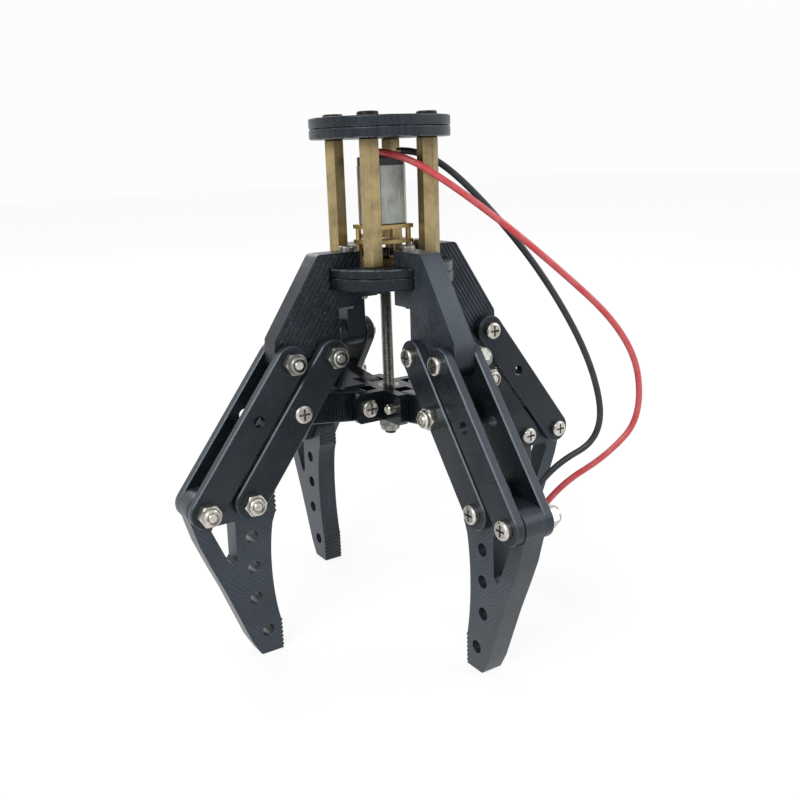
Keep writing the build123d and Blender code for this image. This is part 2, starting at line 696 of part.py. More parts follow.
with BuildPart() as motor_can:
    with BuildSketch(Plane.XY.offset(can_bottom)):
        Circle(can_r)
        Rectangle(2 * can_r, 2 * can_flat, mode=Mode.INTERSECT)
    extrude(amount=can_top - can_bottom)
    fillet(motor_can.edges().group_by(Axis.Z)[0], can_edge_r)
motor_can.part.label = "motor_can"
export_step(motor_can.part, "parts/motor_can.step")

cap_inset = 0.15
cap_edge_r = 0.3
cap_boss_r = 1.9
cap_boss_height = 0.5
with BuildPart() as motor_cap:
    with BuildSketch(Plane.XY.offset(can_top)):
        Circle(can_r - cap_inset)
        Rectangle(2 * can_r, 2 * (can_flat - cap_inset), mode=Mode.INTERSECT)
    extrude(amount=cap_height)
    fillet(motor_cap.edges().group_by(Axis.Z)[-1], cap_edge_r)
    with BuildSketch(Plane.XY.offset(cap_top)):
        Circle(cap_boss_r)
    extrude(amount=cap_boss_height)
motor_cap.part.label = "motor_cap"
export_step(motor_cap.part, "parts/motor_cap.step")

# Wires: the motor's two leads, soldered to its terminals, led over the edge of the hub and
# hanging in a loop between legs 1 and 4 down to the floor; the far ends are bare.
wire_r = 0.85
lead_rise = 1.2
red_start = (-3.9, -1.6, cap_top + lead_rise)
black_start = (5.4, -0.6, cap_top + lead_rise)
wire_routes = {
    "red_wire": [
        red_start,
        (-1.0, -9.0, cap_top + lead_rise),
        (9.8, -17.7, 113.5),
        (30.2, -23.9, 97.3),
        (55.7, -32.6, 73.2),
        (60.8, -32.2, 50.7),
        (51.9, -28.3, 40.2),
        (37.4, -24.8, 33.7),
        (26.0, -23.9, 22.6),
        (17.6, -26.0, 8.1),
        (13.0, -32.0, wire_r),
    ],
    "black_wire": [
        black_start,
        (11.0, -2.5, cap_top + lead_rise),
        (20.2, -9.2, 113.4),
        (33.2, -21.5, 92.3),
        (46.3, -27.7, 66.7),
        (50.8, -28.1, 45.7),
        (37.9, -21.3, 38.1),
        (28.5, -19.9, 27.1),
        (20.6, -19.9, 14.0),
        (14.6, -22.0, 4.5),
        (10.0, -28.0, wire_r),
    ],
}


def bend_radii(points):
    """Radius of each bend: its arc uses 0.45 of the shorter run beside it."""
    radii = []
    for before, corner, after in zip(points, points[1:], points[2:]):
        run_in = Vector(*corner) - Vector(*before)
        run_out = Vector(*after) - Vector(*corner)
        half_turn = math.radians(run_in.get_angle(run_out)) / 2
        radii.append(0.45 * min(run_in.length, run_out.length) / math.tan(half_turn))
    return radii


for name, points in wire_routes.items():
    radii = bend_radii(points)
    start_plane = Plane(origin=points[0], z_dir=Vector(*points[1]) - Vector(*points[0]))
    with BuildPart() as wire:
        with BuildLine() as route:
            FilletPolyline(*points, radius=radii)
        with BuildSketch(start_plane):
            Circle(wire_r)
        sweep()
    tube_share = wire.part.volume / (math.pi * wire_r ** 2 * route.wires()[0].length)
    print(name, "length", round(route.wires()[0].length, 1), "of tube volume", round(tube_share, 4))
    print(name, "radii", [round(radius, 1) for radius in radii])
    wire.part.label = name
    export_step(wire.part, f"parts/{name}.step")

# Terminals: two brass tabs on the cap, each with a bead of solder that meets its wire's end.
terminal_x = 4.3
terminal_width = 1.7
terminal_thickness = 0.4
terminal_height = 2.0
bead_r = 0.8
bead_length = 1.2
with BuildPart() as motor_terminals:
    with BuildSketch(Plane.XY.offset(cap_top)):
        with Locations((terminal_x, 0), (-terminal_x, 0)):
            Rectangle(terminal_thickness, terminal_width)
    extrude(amount=terminal_height)
    for points in wire_routes.values():
        with BuildSketch(Plane(origin=points[0], z_dir=Vector(*points[0]) - Vector(*points[1]))):
            Circle(bead_r)
        extrude(amount=bead_length)
motor_terminals.part.label = "motor_terminals"
export_step(motor_terminals.part, "parts/motor_terminals.step")

# Lead screw: the gearbox's own threaded output shaft with its gear pressed on, down through
# the hub and the traveller.
lead_screw_bottom = 49.7
lead_screw_end_break = 0.4
lead_screw_boss = 0.1
lead_screw_top = output_gear_bottom + output_gear_height + lead_screw_boss
with BuildPart() as lead_screw:
    with BuildSketch(Plane.XY.offset(lead_screw_bottom)):
        Circle(screw_r)
    extrude(amount=lead_screw_top - lead_screw_bottom)
    chamfer(lead_screw.edges().group_by(Axis.Z)[0], lead_screw_end_break)
    add_gear(0, 0, output_gear_bottom, output_gear_height, output_gear_r, output_gear_teeth)
lead_screw.part.label = "lead_screw"
export_step(lead_screw.part, "parts/lead_screw.step")
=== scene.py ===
import math

import bpy
from mathutils import Matrix, Vector


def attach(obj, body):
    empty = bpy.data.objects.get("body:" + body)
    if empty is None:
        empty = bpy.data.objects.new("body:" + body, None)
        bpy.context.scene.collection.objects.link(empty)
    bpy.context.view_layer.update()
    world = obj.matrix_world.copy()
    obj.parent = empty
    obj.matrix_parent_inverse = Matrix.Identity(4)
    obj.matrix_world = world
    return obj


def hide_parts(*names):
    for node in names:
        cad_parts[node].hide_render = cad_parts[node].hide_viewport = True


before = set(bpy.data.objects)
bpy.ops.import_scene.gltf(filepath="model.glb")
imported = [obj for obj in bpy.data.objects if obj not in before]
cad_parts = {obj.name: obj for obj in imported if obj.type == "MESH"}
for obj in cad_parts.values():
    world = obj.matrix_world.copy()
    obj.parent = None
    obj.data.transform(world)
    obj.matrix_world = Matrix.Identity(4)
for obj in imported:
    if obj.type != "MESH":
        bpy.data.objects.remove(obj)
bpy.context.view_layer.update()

scene = bpy.context.scene


# Camera: at the photograph's place, as high as the motor's cap and to the left of leg 4,
# with a lens of the photograph's angle. Lengths are in metres here and in the whole file,
# and the camera's angles in degrees.
camera_distance = 0.2325
camera_height = 0.1222
camera_bearing = -121.91
camera_turn = -32.60
camera_pitch = 15.24
camera_roll = -1.9
focal_length = 41.15
sensor_width = 36.0
nearest_seen = 0.01
bearing = math.radians(camera_bearing)
camera_data = bpy.data.cameras.new("camera")
camera_data.sensor_width = sensor_width
camera_data.lens = focal_length
camera_data.clip_start = nearest_seen
camera = bpy.data.objects.new("camera", camera_data)
camera.matrix_world = (
    Matrix.Translation((
        camera_distance * math.cos(bearing), camera_distance * math.sin(bearing), camera_height
    ))
    @ Matrix.Rotation(math.radians(camera_turn), 4, "Z")
    @ Matrix.Rotation(math.radians(90 - camera_pitch), 4, "X")
    @ Matrix.Rotation(math.radians(camera_roll), 4, "Z")
)
scene.collection.objects.link(camera)
scene.camera = camera
scene.view_settings.view_transform = "Standard"


# Studio: a white table that runs out to a white room, with a soft lamp on either side and
# one behind. Table and room are seen mostly by a white of their own; the room's light and
# the lamps shape the gripper.
class Varying:
    """A number that varies over a surface; a sum of such numbers adds its nodes."""

    def __init__(self, finish, socket):
        self.finish = finish
        self.socket = socket

    def maths(self, operation, *terms):
        return self.finish.node("Math", {"operation": operation}, dict(enumerate(terms)))

    def __add__(self, other):
        return self.maths("ADD", self, other)

    def __radd__(self, other):
        return self.maths("ADD", other, self)

    def __sub__(self, other):
        return self.maths("SUBTRACT", self, other)

    def __rsub__(self, other):
        return self.maths("SUBTRACT", other, self)

    def __mul__(self, other):
        return self.maths("MULTIPLY", self, other)

    def __rmul__(self, other):
        return self.maths("MULTIPLY", other, self)

    def __gt__(self, other):
        return self.maths("GREATER_THAN", self, other)

    def __lt__(self, other):
        return self.maths("LESS_THAN", self, other)

    def size(self):
        return self.maths("ABSOLUTE", self)

    def larger(self, other):
        return self.maths("MAXIMUM", self, other)

    def smaller(self, other):
        return self.maths("MINIMUM", self, other)

    def bearing(self, across):
        """The angle round the upright axis, from the places along y and x."""
        return self.maths("ARCTAN2", self, across)

    def waves(self, width):
        """Goes from -1 to 1 and back once in each width."""
        return self.maths("SINE", self * (2 * math.pi / width))


class Finish:
    """One material. Every node that it needs comes from node()."""

    def __init__(self, name):
        self.material = bpy.data.materials.new(name)
        self.material.use_nodes = True
        self.tree = self.material.node_tree
        self.shader = self.tree.nodes["Principled BSDF"]
        self.output = self.tree.nodes["Material Output"]

    def node(self, kind, settings=None, sockets=None, out=0):
        made = self.tree.nodes.new("ShaderNode" + kind)
        for key, value in (settings or {}).items():
            if key == "stops":
                for stop, (position, shade) in zip(made.color_ramp.elements, value):
                    stop.position = position
                    stop.color = (shade, shade, shade, 1)
            else:
                setattr(made, key, value)
        for key, value in (sockets or {}).items():
            self.feed(made.inputs[key], value)
        return Varying(self, made.outputs[out])

    def feed(self, socket, value):
        if isinstance(value, Varying):
            self.tree.links.new(value.socket, socket)
        elif socket.type == "RGBA" and len(value) == 3:
            socket.default_value = (*value, 1)
        else:
            socket.default_value = value

    def surface(self, **sockets):
        for key, value in sockets.items():
            self.feed(self.shader.inputs[key.replace("_", " ")], value)
        return self.material

    def place(self):
        return self.node("TexCoord", out="Object")

    def facing(self):
        return self.node("TexCoord", out="Normal")

    def axes(self, vector):
        split = self.node("SeparateXYZ", None, {0: vector}).socket.node
        return [Varying(self, output) for output in split.outputs]

    def stretch(self, vector, scale):
        return self.node("VectorMath", {"operation": "MULTIPLY"}, {0: vector, 1: scale})

    def noise(self, vector, scale, detail=3.0, roughness=0.5):
        return self.node("TexNoise", None, {
            "Vector": vector, "Scale": scale, "Detail": detail, "Roughness": roughness,
        })

    def mix(self, share, first, second):
        """Two colours; a Mix node's colour sockets go by number, since names are shared."""
        return self.node("Mix", {"data_type": "RGBA"}, {0: share, 6: first, 7: second}, out=2)

    def rise(self, value, start, end, before=0.0, after=1.0):
        """Goes from before to after while the value goes from start to end."""
        return self.node("ValToRGB", {"stops": [(start, before), (end, after)]}, {0: value})

    def bump(self, height, depth, strength):
        return self.node("Bump", None, {"Height": height, "Distance": depth, "Strength": strength})


table_size = 6.0
table_glow = 0.84
room_light = 0.85
room_glow = 0.98
lamp_aim = Vector((0, 0, 0.07))
lamps = {
    "key": {"place": (-0.75, -0.40, 0.65), "size": 0.45, "energy": 6.0},
    "side": {"place": (0.65, -0.45, 0.45), "size": 0.5, "energy": 2.2},
    "back": {"place": (0.1, 0.8, 0.6), "size": 0.6, "energy": 3.0},
}
bpy.ops.mesh.primitive_plane_add(size=table_size)
table = bpy.context.object
table.name = "table"
table_finish = Finish("table_white")
rays = table_finish.node("LightPath").socket.node.outputs
to_camera, to_gloss, to_glass = [
    Varying(table_finish, rays[f"Is {kind} Ray"]) for kind in ("Camera", "Glossy", "Transmission")
]
table_finish.surface(Base_Color=(0.88, 0.88, 0.88), Roughness=0.9)
shown = table_finish.node("MixShader", None, {
    0: to_camera.larger(to_gloss).larger(to_glass) * table_glow,
    1: Varying(table_finish, table_finish.shader.outputs["BSDF"]),
    2: table_finish.node("Emission", None, {"Color": (1, 1, 1), "Strength": 1.0}),
})
table_finish.feed(table_finish.output.inputs["Surface"], shown)
table.data.materials.append(table_finish.material)

room = bpy.data.worlds.new("room")
room.use_nodes = True
scene.world = room
room_nodes = room.node_tree.nodes
room_links = room.node_tree.links
room_rays = room_nodes.new("ShaderNodeLightPath")
room_seen = room_nodes.new("ShaderNodeMath")
room_seen.operation = "MAXIMUM"
room_links.new(room_rays.outputs["Is Camera Ray"], room_seen.inputs[0])
room_links.new(room_rays.outputs["Is Transmission Ray"], room_seen.inputs[1])
room_level = room_nodes.new("ShaderNodeMapRange")
room_links.new(room_seen.outputs[0], room_level.inputs["Value"])
room_level.inputs["To Min"].default_value = room_light
room_level.inputs["To Max"].default_value = room_glow
backdrop = room_nodes["Background"]
backdrop.inputs["Color"].default_value = (1, 1, 1, 1)
room_links.new(room_level.outputs[0], backdrop.inputs["Strength"])

for name, setting in lamps.items():
    lamp_data = bpy.data.lights.new(name, "AREA")
    lamp_data.energy = setting["energy"]
    lamp_data.size = setting["size"]
    lamp = bpy.data.objects.new(name, lamp_data)
    lamp.location = setting["place"]
    aim = lamp_aim - Vector(setting["place"])
    lamp.rotation_euler = aim.to_track_quat("-Z", "Y").to_euler()
    scene.collection.objects.link(lamp)


# Wires: two stranded leads in soft plastic sleeves, soldered to the motor's terminals. They
# bow out past leg 4 and come back to the table; each ends in bare tinned strands.
wire_radius = 0.00085
strand_radius = 0.00019
strand_corners = 8
strands_outside = 6
strand_twist = math.radians(150)
strand_steps = 12
bare_length = 0.004
share_in_sleeve = 0.2
sleeve_relief = 0.00004
wires = {
    "red_wire": {
        "route": [
            (-0.0039, -0.0016, 0.1222), (-0.0010, -0.0090, 0.1222), (0.0098, -0.0177, 0.1135),
            (0.0302, -0.0239, 0.0973), (0.0557, -0.0326, 0.0732), (0.0608, -0.0322, 0.0507),
            (0.0519, -0.0283, 0.0402), (0.0374, -0.0248, 0.0337), (0.0260, -0.0239, 0.0226),
            (0.0176, -0.0260, 0.0081), (0.0130, -0.0320, 0.00085),
        ],
        "length": 0.1813, "colour": (0.43, 0.032, 0.038), "dusty": (0.44, 0.10, 0.105),
        "roughness": 0.27, "slot": "red_sleeve",
    },
    "black_wire": {
        "route": [
            (0.0054, -0.0006, 0.1222), (0.0110, -0.0025, 0.1222), (0.0202, -0.0092, 0.1134),
            (0.0332, -0.0215, 0.0923), (0.0463, -0.0277, 0.0667), (0.0508, -0.0281, 0.0457),
            (0.0379, -0.0213, 0.0381), (0.0285, -0.0199, 0.0271), (0.0206, -0.0199, 0.0140),
            (0.0146, -0.0220, 0.0045), (0.0100, -0.0280, 0.00085),
        ],
        "length": 0.1617, "colour": (0.008, 0.011, 0.017), "dusty": (0.018, 0.023, 0.031),
        "roughness": 0.32, "slot": "black_sleeve",
    },
}


def sleeve_finish(name, colour, dusty, roughness):
    finish = Finish(name)
    place = finish.place()
    tone = finish.noise(place, scale=260.0, detail=4.0, roughness=0.6)
    scuff = finish.noise(place, scale=2400.0, detail=2.0, roughness=0.6)
    return finish.surface(
        Base_Color=finish.mix(finish.rise(tone, 0.4, 0.75), colour, dusty),
        Roughness=roughness + 0.16 * tone,
        Normal=finish.bump(scuff, sleeve_relief, strength=0.5),
    )


def lay_wire(name, route, finish):
    curve = bpy.data.curves.new(name, "CURVE")
    curve.dimensions = "3D"
    spline = curve.splines.new("NURBS")
    spline.points.add(len(route) - 1)
    for point, place in zip(spline.points, route):
        point.co = (*place, 1)
    spline.order_u = 3
    spline.use_endpoint_u = True
    curve.resolution_u = 14
    curve.bevel_depth = wire_radius
    curve.bevel_resolution = 6
    curve.use_fill_caps = True
    curve.materials.append(finish)
    piece = bpy.data.objects.new(name, curve)
    scene.collection.objects.link(piece)
    return piece


def edit_whole():
    bpy.ops.object.mode_set(mode="EDIT")
    bpy.ops.mesh.select_all(action="SELECT")


def bare_end(name, route, finish):
    """Seven strands with a slight twist, straight out of the sleeve's end."""
    tip = Vector(route[-1])
    aim = tip - Vector(route[-2])
    aim = Vector((aim.x, aim.y, 0)).normalized()
    bpy.ops.object.select_all(action="DESELECT")
    bpy.ops.mesh.primitive_circle_add(vertices=strand_corners, radius=strand_radius)
    piece = bpy.context.object
    piece.name = name
    piece.data.name = name
    bpy.ops.object.mode_set(mode="EDIT")
    for number in range(strands_outside):
        angle = math.radians(number * 360 / strands_outside)
        centre = (2 * strand_radius * math.cos(angle), 2 * strand_radius * math.sin(angle), 0)
        bpy.ops.mesh.primitive_circle_add(
            vertices=strand_corners, radius=strand_radius, location=centre)
    bpy.ops.object.mode_set(mode="OBJECT")
    twist = piece.modifiers.new("twist", "SCREW")
    twist.angle = strand_twist
    twist.screw_offset = bare_length
    twist.steps = twist.render_steps = strand_steps
    bpy.ops.object.modifier_apply(modifier="twist")
    edit_whole()
    bpy.ops.mesh.fill_holes(sides=strand_corners)
    bpy.ops.mesh.normals_make_consistent(inside=False)
    bpy.ops.object.mode_set(mode="OBJECT")
    laid = aim.to_track_quat("Z", "Y").to_matrix().to_4x4()
    drop = Vector((0, 0, wire_radius - 3 * strand_radius))
    start = tip - aim * bare_length * share_in_sleeve - drop
    piece.data.transform(Matrix.Translation(start) @ laid)
    piece.data.materials.append(finish)
    return piece


tin = Finish("tinned_copper")
tin_place = tin.place()
tin_light = (0.72, 0.70, 0.66)
tin_dark = (0.5, 0.48, 0.45)
tin.surface(
    Base_Color=tin.mix(tin.noise(tin_place, scale=900.0), tin_light, tin_dark),
    Metallic=1.0,
    Roughness=0.3 + 0.2 * tin.noise(tin_place, scale=1500.0),
)
for node, wire in wires.items():
    route, slot = wire["route"], wire["slot"]
    plastic = sleeve_finish(slot + "_finish", wire["colour"], wire["dusty"], wire["roughness"])
    sleeve = lay_wire(node + "_sleeve", route, plastic)
    strands = bare_end(node + "_strands", route, tin.material)
    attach(sleeve, "root")
    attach(strands, "root")
    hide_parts(node)


# Printed plates of the legs: brackets, links, claws and push rods, printed flat in glossy
# black plastic. Their flat faces show the slanting rows of the last layer and fine grain,
# with small painted glints; their edges show the stacked layers and are painted lighter
# where they face up, and corners are painted lighter, partly as wear and partly as a highlight.
plastic_dark = (0.0022, 0.0032, 0.0046)
plastic_light = (0.074, 0.090, 0.112)
sheen_tint = (0.79, 0.90, 1.0, 1.0)
print_relief = 0.00003
patch_tone = 0.3
drift_tone = 0.35
layer_tone = 0.08
layer_height = 0.0002
layer_waver = 0.00005
row_waver = 0.00025
claw_waver = 0.0022
link_rows = 0.0005
claw_rows = 0.0009
rod_rows = 0.0008
rod_slope = 0.0
edge_round = 0.00022
edge_merge = 0.000002
legs = {
    1: {"across": "y", "slope": 33.3, "bracket_rows": 0.0010, "claw_slope": -48},
    2: {"across": "x", "slope": 33.3, "bracket_rows": 0.0008, "claw_slope": -42},
    3: {"across": "y", "slope": 146.7, "bracket_rows": 0.0012, "claw_slope": 45},
    4: {"across": "x", "slope": 146.7, "bracket_rows": 0.0007, "claw_slope": 52},
}
bracket_looks = {
    1: {"face": 0.0, "rows": 0.75, "grain": 0.16, "glints": 0.2, "edge": 0.10,
        "edge_side": 0.02, "wear_and_highlight": 0.45, "roughness": 0.24, "sheen": 0.33},
    2: {"face": 0.05, "rows": 0.22, "grain": 0.3, "glints": 0.2, "edge": 0.10,
        "edge_side": 0.02, "wear_and_highlight": 0.45, "roughness": 0.26, "sheen": 0.33},
    3: {"face": 0.02, "rows": 0.16, "grain": 0.24, "glints": 0.9, "edge": 0.18,
        "edge_side": 0.04, "wear_and_highlight": 0.7, "roughness": 0.25, "sheen": 0.30},
    # Leg 4's bracket, whose side faces the key lamp, has lighter rows and edges, partly as painted
    # sheen.
    4: {"face": 0.06, "rows": 0.85, "grain": 0.35, "glints": 0.2, "edge": 0.42,
        "edge_side": 0.06, "wear_and_highlight": 0.6, "roughness": 0.26, "sheen": 0.40},
}
link_look = {
    "face": 0.05, "rows": 0.06, "grain": 0.12, "glints": 0.12, "edge": 0.22,
    "edge_side": 0.14, "wear_and_highlight": 0.24, "roughness": 0.22, "sheen": 0.36,
}
claw_look = {
    "face": 0.24, "rows": 0.20, "grain": 0.16, "glints": 0.10, "edge": 0.22,
    "edge_side": 0.20, "wear_and_highlight": 0.5, "roughness": 0.25, "sheen": 0.42,
}
# Push rods sit in the middle of the gripper: their look is darker than the other plates' as painted
# shade.
shaded_rod_look = {
    "face": 0.0, "rows": 0.08, "grain": 0.10, "glints": 0.08, "edge": 0.06,
    "edge_side": 0.0, "wear_and_highlight": 0.2, "roughness": 0.16, "sheen": 0.28,
}


def plastic_surface(finish, share, roughness, relief, sheen):
    return finish.surface(
        Base_Color=finish.mix(share, plastic_dark, plastic_light),
        Roughness=roughness,
        Normal=finish.bump(relief, print_relief, strength=0.6),
        Specular_IOR_Level=sheen,
        Specular_Tint=sheen_tint,
    )


def plate_finish(name, across, slope, width, look, waver=row_waver):
    """Printed plastic whose flat faces look along the axis that is given as across.

    slope, in degrees, is that of the rows on the flat faces, width is theirs, and waver is
    how far they stray from straight. look is how light the faces and the edges are, with the
    edges that face up painted lighter as light from above, how strongly rows, grain, painted
    glints and the wear with its painted highlight on the corners show, and the shine.
    """
    finish = Finish(name)
    place = finish.place()
    x, y, z = finish.axes(place)
    facing_x, facing_y, facing_z = finish.axes(finish.facing())
    if across == "x":
        level, thickness, facing, layer_stretch = y, x, facing_x.size(), (1.0, 0.08, 0.08)
    else:
        level, thickness, facing, layer_stretch = x, y, facing_y.size(), (0.08, 1.0, 0.08)
    flat = finish.rise(facing, 0.85, 0.95)
    # Corners between flat faces and edges are painted lighter, partly as wear and partly as a painted
    # highlight.
    wear_and_highlight = finish.rise(facing, 0.30, 0.45) * (1 - flat)
    # Painted light: edges that face up are painted lighter, as if lit from above.
    painted_top_light = finish.rise(facing_z, 0.10, 0.45)
    wander = finish.noise(place, scale=300.0, detail=2.0)
    patch = finish.noise(place, scale=85.0, detail=3.0, roughness=0.6)
    grain = finish.noise(place, scale=2300.0, detail=3.0, roughness=0.75)
    bright_grain = finish.rise(grain, 0.48, 0.72)
    # Painted highlights: small bright glints scattered over the flat faces.
    glint = finish.rise(finish.noise(place, scale=1700.0, detail=2.0, roughness=0.8), 0.62, 0.74)

    run = level * math.cos(math.radians(slope)) + z * math.sin(math.radians(slope))
    row = (run + wander * waver).waves(width)
    row_line = finish.rise(row * 0.5 + 0.5, 0.5, 0.95)
    row_noise = finish.noise(place, scale=190.0, detail=3.0, roughness=0.6)
    row_patch = finish.rise(row_noise, 0.30, 0.70, before=0.15)
    face_light = (row_line * row_patch * look["rows"] + bright_grain * look["grain"]
                  + glint * look["glints"] + (patch - 0.5) * patch_tone + look["face"])
    face_relief = row * 0.5 + grain * 0.9

    layer = (thickness + wander * layer_waver).waves(layer_height)
    layer_drift = finish.noise(
        finish.stretch(place, layer_stretch), scale=1500.0, detail=3.0, roughness=0.65)
    edge_light = (look["edge_side"] + painted_top_light * (look["edge"] - look["edge_side"])
                  + (layer_drift - 0.5) * drift_tone + layer * layer_tone
                  + (patch - 0.5) * patch_tone)
    edge_relief = layer * 0.3 + grain * 0.5

    return plastic_surface(
        finish,
        share=flat * face_light + (1 - flat) * edge_light + wear_and_highlight * look["wear_and_highlight"],
        roughness=look["roughness"] + 0.12 * patch - 0.12 * glint * flat,
        relief=flat * face_relief + (1 - flat) * edge_relief,
        sheen=look["sheen"],
    )


def dress(names, finish):
    """Gives CAD nodes a finish in place of their plain one."""
    for name in names:
        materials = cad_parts[name].data.materials
        materials.clear()
        materials.append(finish)


def select_only(piece):
    bpy.ops.object.select_all(action="DESELECT")
    piece.select_set(True)
    bpy.context.view_layer.objects.active = piece


def round_edges(name, body, finish):
    """A copy of a CAD node with its sharp printed edges rounded, in the node's place."""
    piece = bpy.data.objects.new(name + "_printed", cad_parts[name].data.copy())
    scene.collection.objects.link(piece)
    select_only(piece)
    edit_whole()
    bpy.ops.mesh.remove_doubles(threshold=edge_merge)
    bpy.ops.mesh.dissolve_limited(angle_limit=math.radians(1))
    bpy.ops.object.mode_set(mode="OBJECT")
    rounding = piece.modifiers.new("rounding", "BEVEL")
    rounding.width = edge_round
    rounding.segments = 2
    rounding.limit_method = "ANGLE"
    rounding.angle_limit = math.radians(38)
    rounding.harden_normals = True
    bpy.ops.object.shade_smooth_by_angle(angle=math.radians(32))
    bpy.ops.object.modifier_apply(modifier="rounding")
    piece.data.materials.clear()
    piece.data.materials.append(finish)
    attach(piece, body)
    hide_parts(name)


for leg, plates in legs.items():
    across, slope = plates["across"], plates["slope"]
    round_edges(f"bracket_{leg}", "root", plate_finish(
        f"printed_bracket_{leg}", across, slope, plates["bracket_rows"], bracket_looks[leg]))
    links = [f"{pair}_link_{hand}_{leg}" for pair in ("outer", "inner") for hand in ("left", "right")]
    dress(links, plate_finish(f"printed_links_{leg}", across, slope, link_rows, link_look))
    round_edges(f"claw_{leg}", f"claw_{leg}", plate_finish(
        f"printed_claw_{leg}", across, plates["claw_slope"], claw_rows, claw_look, claw_waver))
    dress([f"push_rod_{leg}"], plate_finish(
        f"shaded_printed_rod_{leg}", across, rod_slope, rod_rows, shaded_rod_look))


# Discs and traveller: the same plastic, printed lying down. The rims show fine upright
# marks, and a rough lip where two discs meet and along one outer edge, painted pale as a
# highlight.
disc_rows = 0.0006
disc_waver = 0.0003
rim_marks = 300
rim_waver = 0.03
lip_width = 0.00016
lip_waver = 0.0004
lip_highlight_tone = 1.3
top_disc_lips = (0.1278, 0.1254)
hub_lips = (0.0930, 0.0951)


def disc_finish(name, rim_light, rim_mark, lips, roughness, sheen):
    """lips is the heights of the lips, painted pale as a highlight; rim_mark is how strongly the
    marks show.
    """
    finish = Finish(name)
    place = finish.place()
    x, y, z = finish.axes(place)
    facing_z = finish.axes(finish.facing())[2]
    flat = finish.rise(facing_z.size(), 0.6, 0.85)
    wander = finish.noise(place, scale=300.0, detail=3.0)
    patch = finish.noise(place, scale=120.0, detail=3.0, roughness=0.6)
    grain = finish.noise(place, scale=2400.0, detail=3.0, roughness=0.75)
    bright_grain = finish.rise(grain, 0.48, 0.72)
    upright = finish.noise(
        finish.stretch(place, (1.0, 1.0, 0.12)), scale=1300.0, detail=3.0, roughness=0.6)
    mark = (y.bearing(x) + wander * rim_waver).waves(2 * math.pi / rim_marks)
    row = (x + y + wander * disc_waver).waves(disc_rows)
    lip_patch = finish.rise(finish.noise(place, scale=520.0, detail=3.0, roughness=0.7), 0.44, 0.58)
    # The lips are partly real rough beads and partly a painted highlight that makes them pale.
    lip = sum(((z - height + (wander - 0.5) * lip_waver).size() < lip_width) * lip_patch
              for height in lips)
    return plastic_surface(
        finish,
        share=(flat * (0.04 * row + 0.3 * bright_grain)
               + (1 - flat) * (rim_light + rim_mark * (upright - 0.5) + 0.12 * bright_grain)
               + 0.2 * (patch - 0.5) + (1 - flat) * lip * lip_highlight_tone),
        roughness=roughness + 0.16 * patch,
        relief=(flat * (row * 0.4 + grain)
                + (1 - flat) * (mark * 0.3 + upright * 0.5 + grain * 0.6)),
        sheen=sheen,
    )


top_disc_print = disc_finish("printed_top_disc", rim_light=0.08, rim_mark=0.5,
                             lips=top_disc_lips, roughness=0.25, sheen=0.38)
hub_print = disc_finish("printed_hub", rim_light=0.02, rim_mark=0.22,
                        lips=hub_lips, roughness=0.2, sheen=0.34)
round_edges("top_disc_lower", "root", top_disc_print)
round_edges("top_disc_upper", "root", top_disc_print)
round_edges("hub_lower", "root", hub_print)
round_edges("hub_upper", "root", hub_print)
# The traveller sits in the middle, in shade: its rim is kept darkest as painted shade.
dress(["traveller"], disc_finish("shaded_printed_traveller", rim_light=0.0, rim_mark=0.06,
                                 lips=(), roughness=0.14, sheen=0.22))


# Standoffs and gearbox: drawn brass, dull and stained from handling, with fine lines along
# the bar; the standoffs' ends are painted darker, as shade where they meet the discs.
standoff_shade_ends = (0.0953, 0.1253)
end_shade_fade = 0.004
brass_relief = 0.00004


def brass_finish(name, colour, stained, lines, ends=None):
    """lines is how the noise is stretched along the bar; ends is where the bar's ends are, which are
    painted darker as shade.
    """
    finish = Finish(name)
    place = finish.place()
    z = finish.axes(place)[2]
    drawn = finish.noise(finish.stretch(place, lines), scale=1500.0, detail=4.0, roughness=0.65)
    stain = finish.noise(place, scale=170.0, detail=4.0, roughness=0.7)
    share = finish.rise(stain, 0.34, 0.72) + (drawn - 0.5) * 0.9
    if ends is not None:
        bottom, top = ends
        # Painted shade: darker towards both ends, where the bar meets a disc.
        from_bottom = (z - bottom) * (1 / end_shade_fade)
        from_top = (top - z) * (1 / end_shade_fade)
        share = share + finish.rise(from_bottom, 0.0, 0.5, before=0.7, after=0.0)
        share = share + finish.rise(from_top, 0.0, 0.8, before=0.8, after=0.0)
    return finish.surface(
        Base_Color=finish.mix(share, colour, stained),
        Metallic=1.0,
        Roughness=0.24 + 0.18 * drawn + 0.12 * stain,
        Normal=finish.bump(drawn, brass_relief, strength=0.5),
    )


dress(["standoffs"], brass_finish(
    "drawn_brass", colour=(0.44, 0.345, 0.18), stained=(0.22, 0.17, 0.09),
    lines=(1, 1, 0.03), ends=standoff_shade_ends))
dress(["gearbox_plates", "gearbox_pillars", "gear_train", "motor_terminals"], brass_finish(
    "gearbox_brass", colour=(0.50, 0.37, 0.17), stained=(0.30, 0.22, 0.10), lines=(1, 1, 1)))


